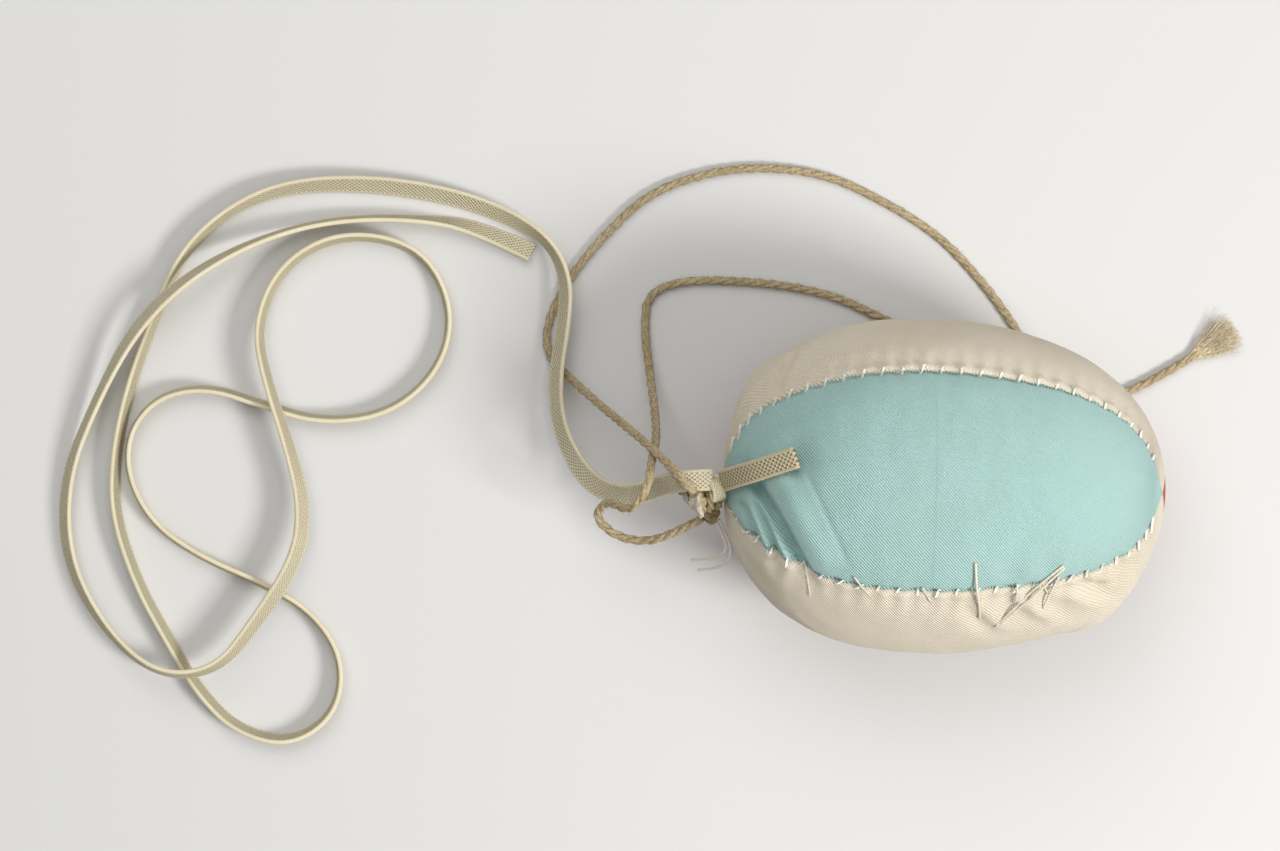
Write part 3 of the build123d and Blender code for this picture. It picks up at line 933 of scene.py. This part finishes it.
def make_tape_knot():
    """Tape folded over itself: two bands, one lying over the other."""
    low, high = (Vector(corner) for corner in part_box("tape_knot"))
    centre = (low + high) / 2
    parts, places = [], []
    for tilt, lift, size in ((8, 0.0, 1.0), (-12, 0.45, 0.92)):
        line = []
        for i in range(61):
            a = 2 * math.pi * i / 60
            spot = NECK_SIDE * math.cos(a) * 3.1 * size + NECK_UP * (math.sin(a) * 1.45 + lift)
            spot = spot + NECK_AXIS * math.sin(math.radians(tilt)) * math.cos(a) * 2.2
            line.append(spot * MM + centre)
        line = np.array([tuple(p) for p in line])
        direction = np.gradient(line, axis=0)
        direction /= np.linalg.norm(direction, axis=1)[:, None]
        width_way = np.array(NECK_AXIS)
        rings = []
        run = run_along(line)
        for i, point in enumerate(line):
            normal = np.cross(direction[i], width_way)
            normal /= np.linalg.norm(normal)
            ring = []
            for face in (1, -1):
                for k in range(9):
                    t = k / 8 if face == 1 else 1 - k / 8
                    spot = point + width_way * (t - 0.5) * TAPE_KNOT_WIDTH
                    ring.append(spot + normal * face * 0.5 * MM)
                    places.append((run[i], t))
            rings.append(ring)
        parts.append(tube_mesh(np.array(rings)))
    points, faces = joined(parts)
    knot = mesh_object("tape_knot_folds", points, faces, TAPE)
    set_weave(knot, places)
    take_place(knot, "tape_knot")


def make_thread_tails():
    """The two loose ends of the white binding, each of three plies."""
    for node, route in BINDING_TAIL_ROUTES.items():
        line = nurbs_line(in_metres(route), 20)
        points, faces = joined(twisted(line, THREAD_DIAMETER, strands=3, pitch=4.5 * MM, around=7))
        tail = mesh_object(node + "_thread", points, faces, THREAD)
        take_place(tail, node)


def make_neck():
    make_tuft()
    laid_coil("neck_twine_wraps_laid", "neck_twine_wraps", NECK_RADIUS + TWINE / 2,
              5.6 * MM, 2.8 * MM, 2.9, TWINE, TWINE_FIBRE)
    laid_coil("binding_thread_laid", "binding_thread",
              NECK_RADIUS + 0.25 * MM, 12.6 * MM, 0.55 * MM, 3.0, 0.55 * MM, THREAD, 2)
    make_twine_knot()
    make_tape_knot()
    make_thread_tails()


# ---------------------------------------------------------------- stage
def make_stage():
    """Pale floor, soft lights and a camera straight above."""
    camera_data = bpy.data.cameras.new("camera")
    camera_data.lens = 90
    camera_data.sensor_width = 36
    camera = bpy.data.objects.new("camera", camera_data)
    camera.location = Vector((-86.65, 16.08, 1020)) * MM
    camera.rotation_euler = (0, 0, math.radians(1.5))
    camera_data.clip_end = 20
    bpy.context.collection.objects.link(camera)
    bpy.context.scene.camera = camera

    floor = Nodes("floor")
    floor.shader.inputs["Base Color"].default_value = (0.62, 0.61, 0.59, 1)
    floor.shader.inputs["Roughness"].default_value = 0.9
    ground = mesh_object("ground", [(-3, -3, 0), (3, -3, 0), (3, 3, 0), (-3, 3, 0)],
                         [(0, 1, 2, 3)], floor.material, False)

    for name, place, power, size in (
        ("key", (0.85, -0.48, 0.95), 17, 0.38),
        ("fill", (-0.35, 0.75, 1.1), 6.5, 1.0),
        ("top", (0.0, 0.2, 1.6), 6, 1.4),
    ):
        data = bpy.data.lights.new(name, "AREA")
        data.energy = power
        data.size = size
        light = bpy.data.objects.new(name, data)
        light.location = place
        light.rotation_euler = (-Vector(place)).to_track_quat("-Z", "Y").to_euler()
        bpy.context.collection.objects.link(light)
    world = bpy.data.worlds.new("world")
    world.use_nodes = True
    world.node_tree.nodes["Background"].inputs[0].default_value = (0.9, 0.92, 0.95, 1)
    world.node_tree.nodes["Background"].inputs[1].default_value = 0.34
    bpy.context.scene.world = world
    bpy.context.scene.view_settings.view_transform = "Standard"


make_stage()
make_tape()
fray_brush = make_fray()
make_twine("twine_long_laid", TWINE_LONG_ROUTE, "twine_long", 21)
make_twine("twine_short_laid", TWINE_SHORT_ROUTE, "twine_short", 22)
make_ball()
make_tape_tail()
make_neck()
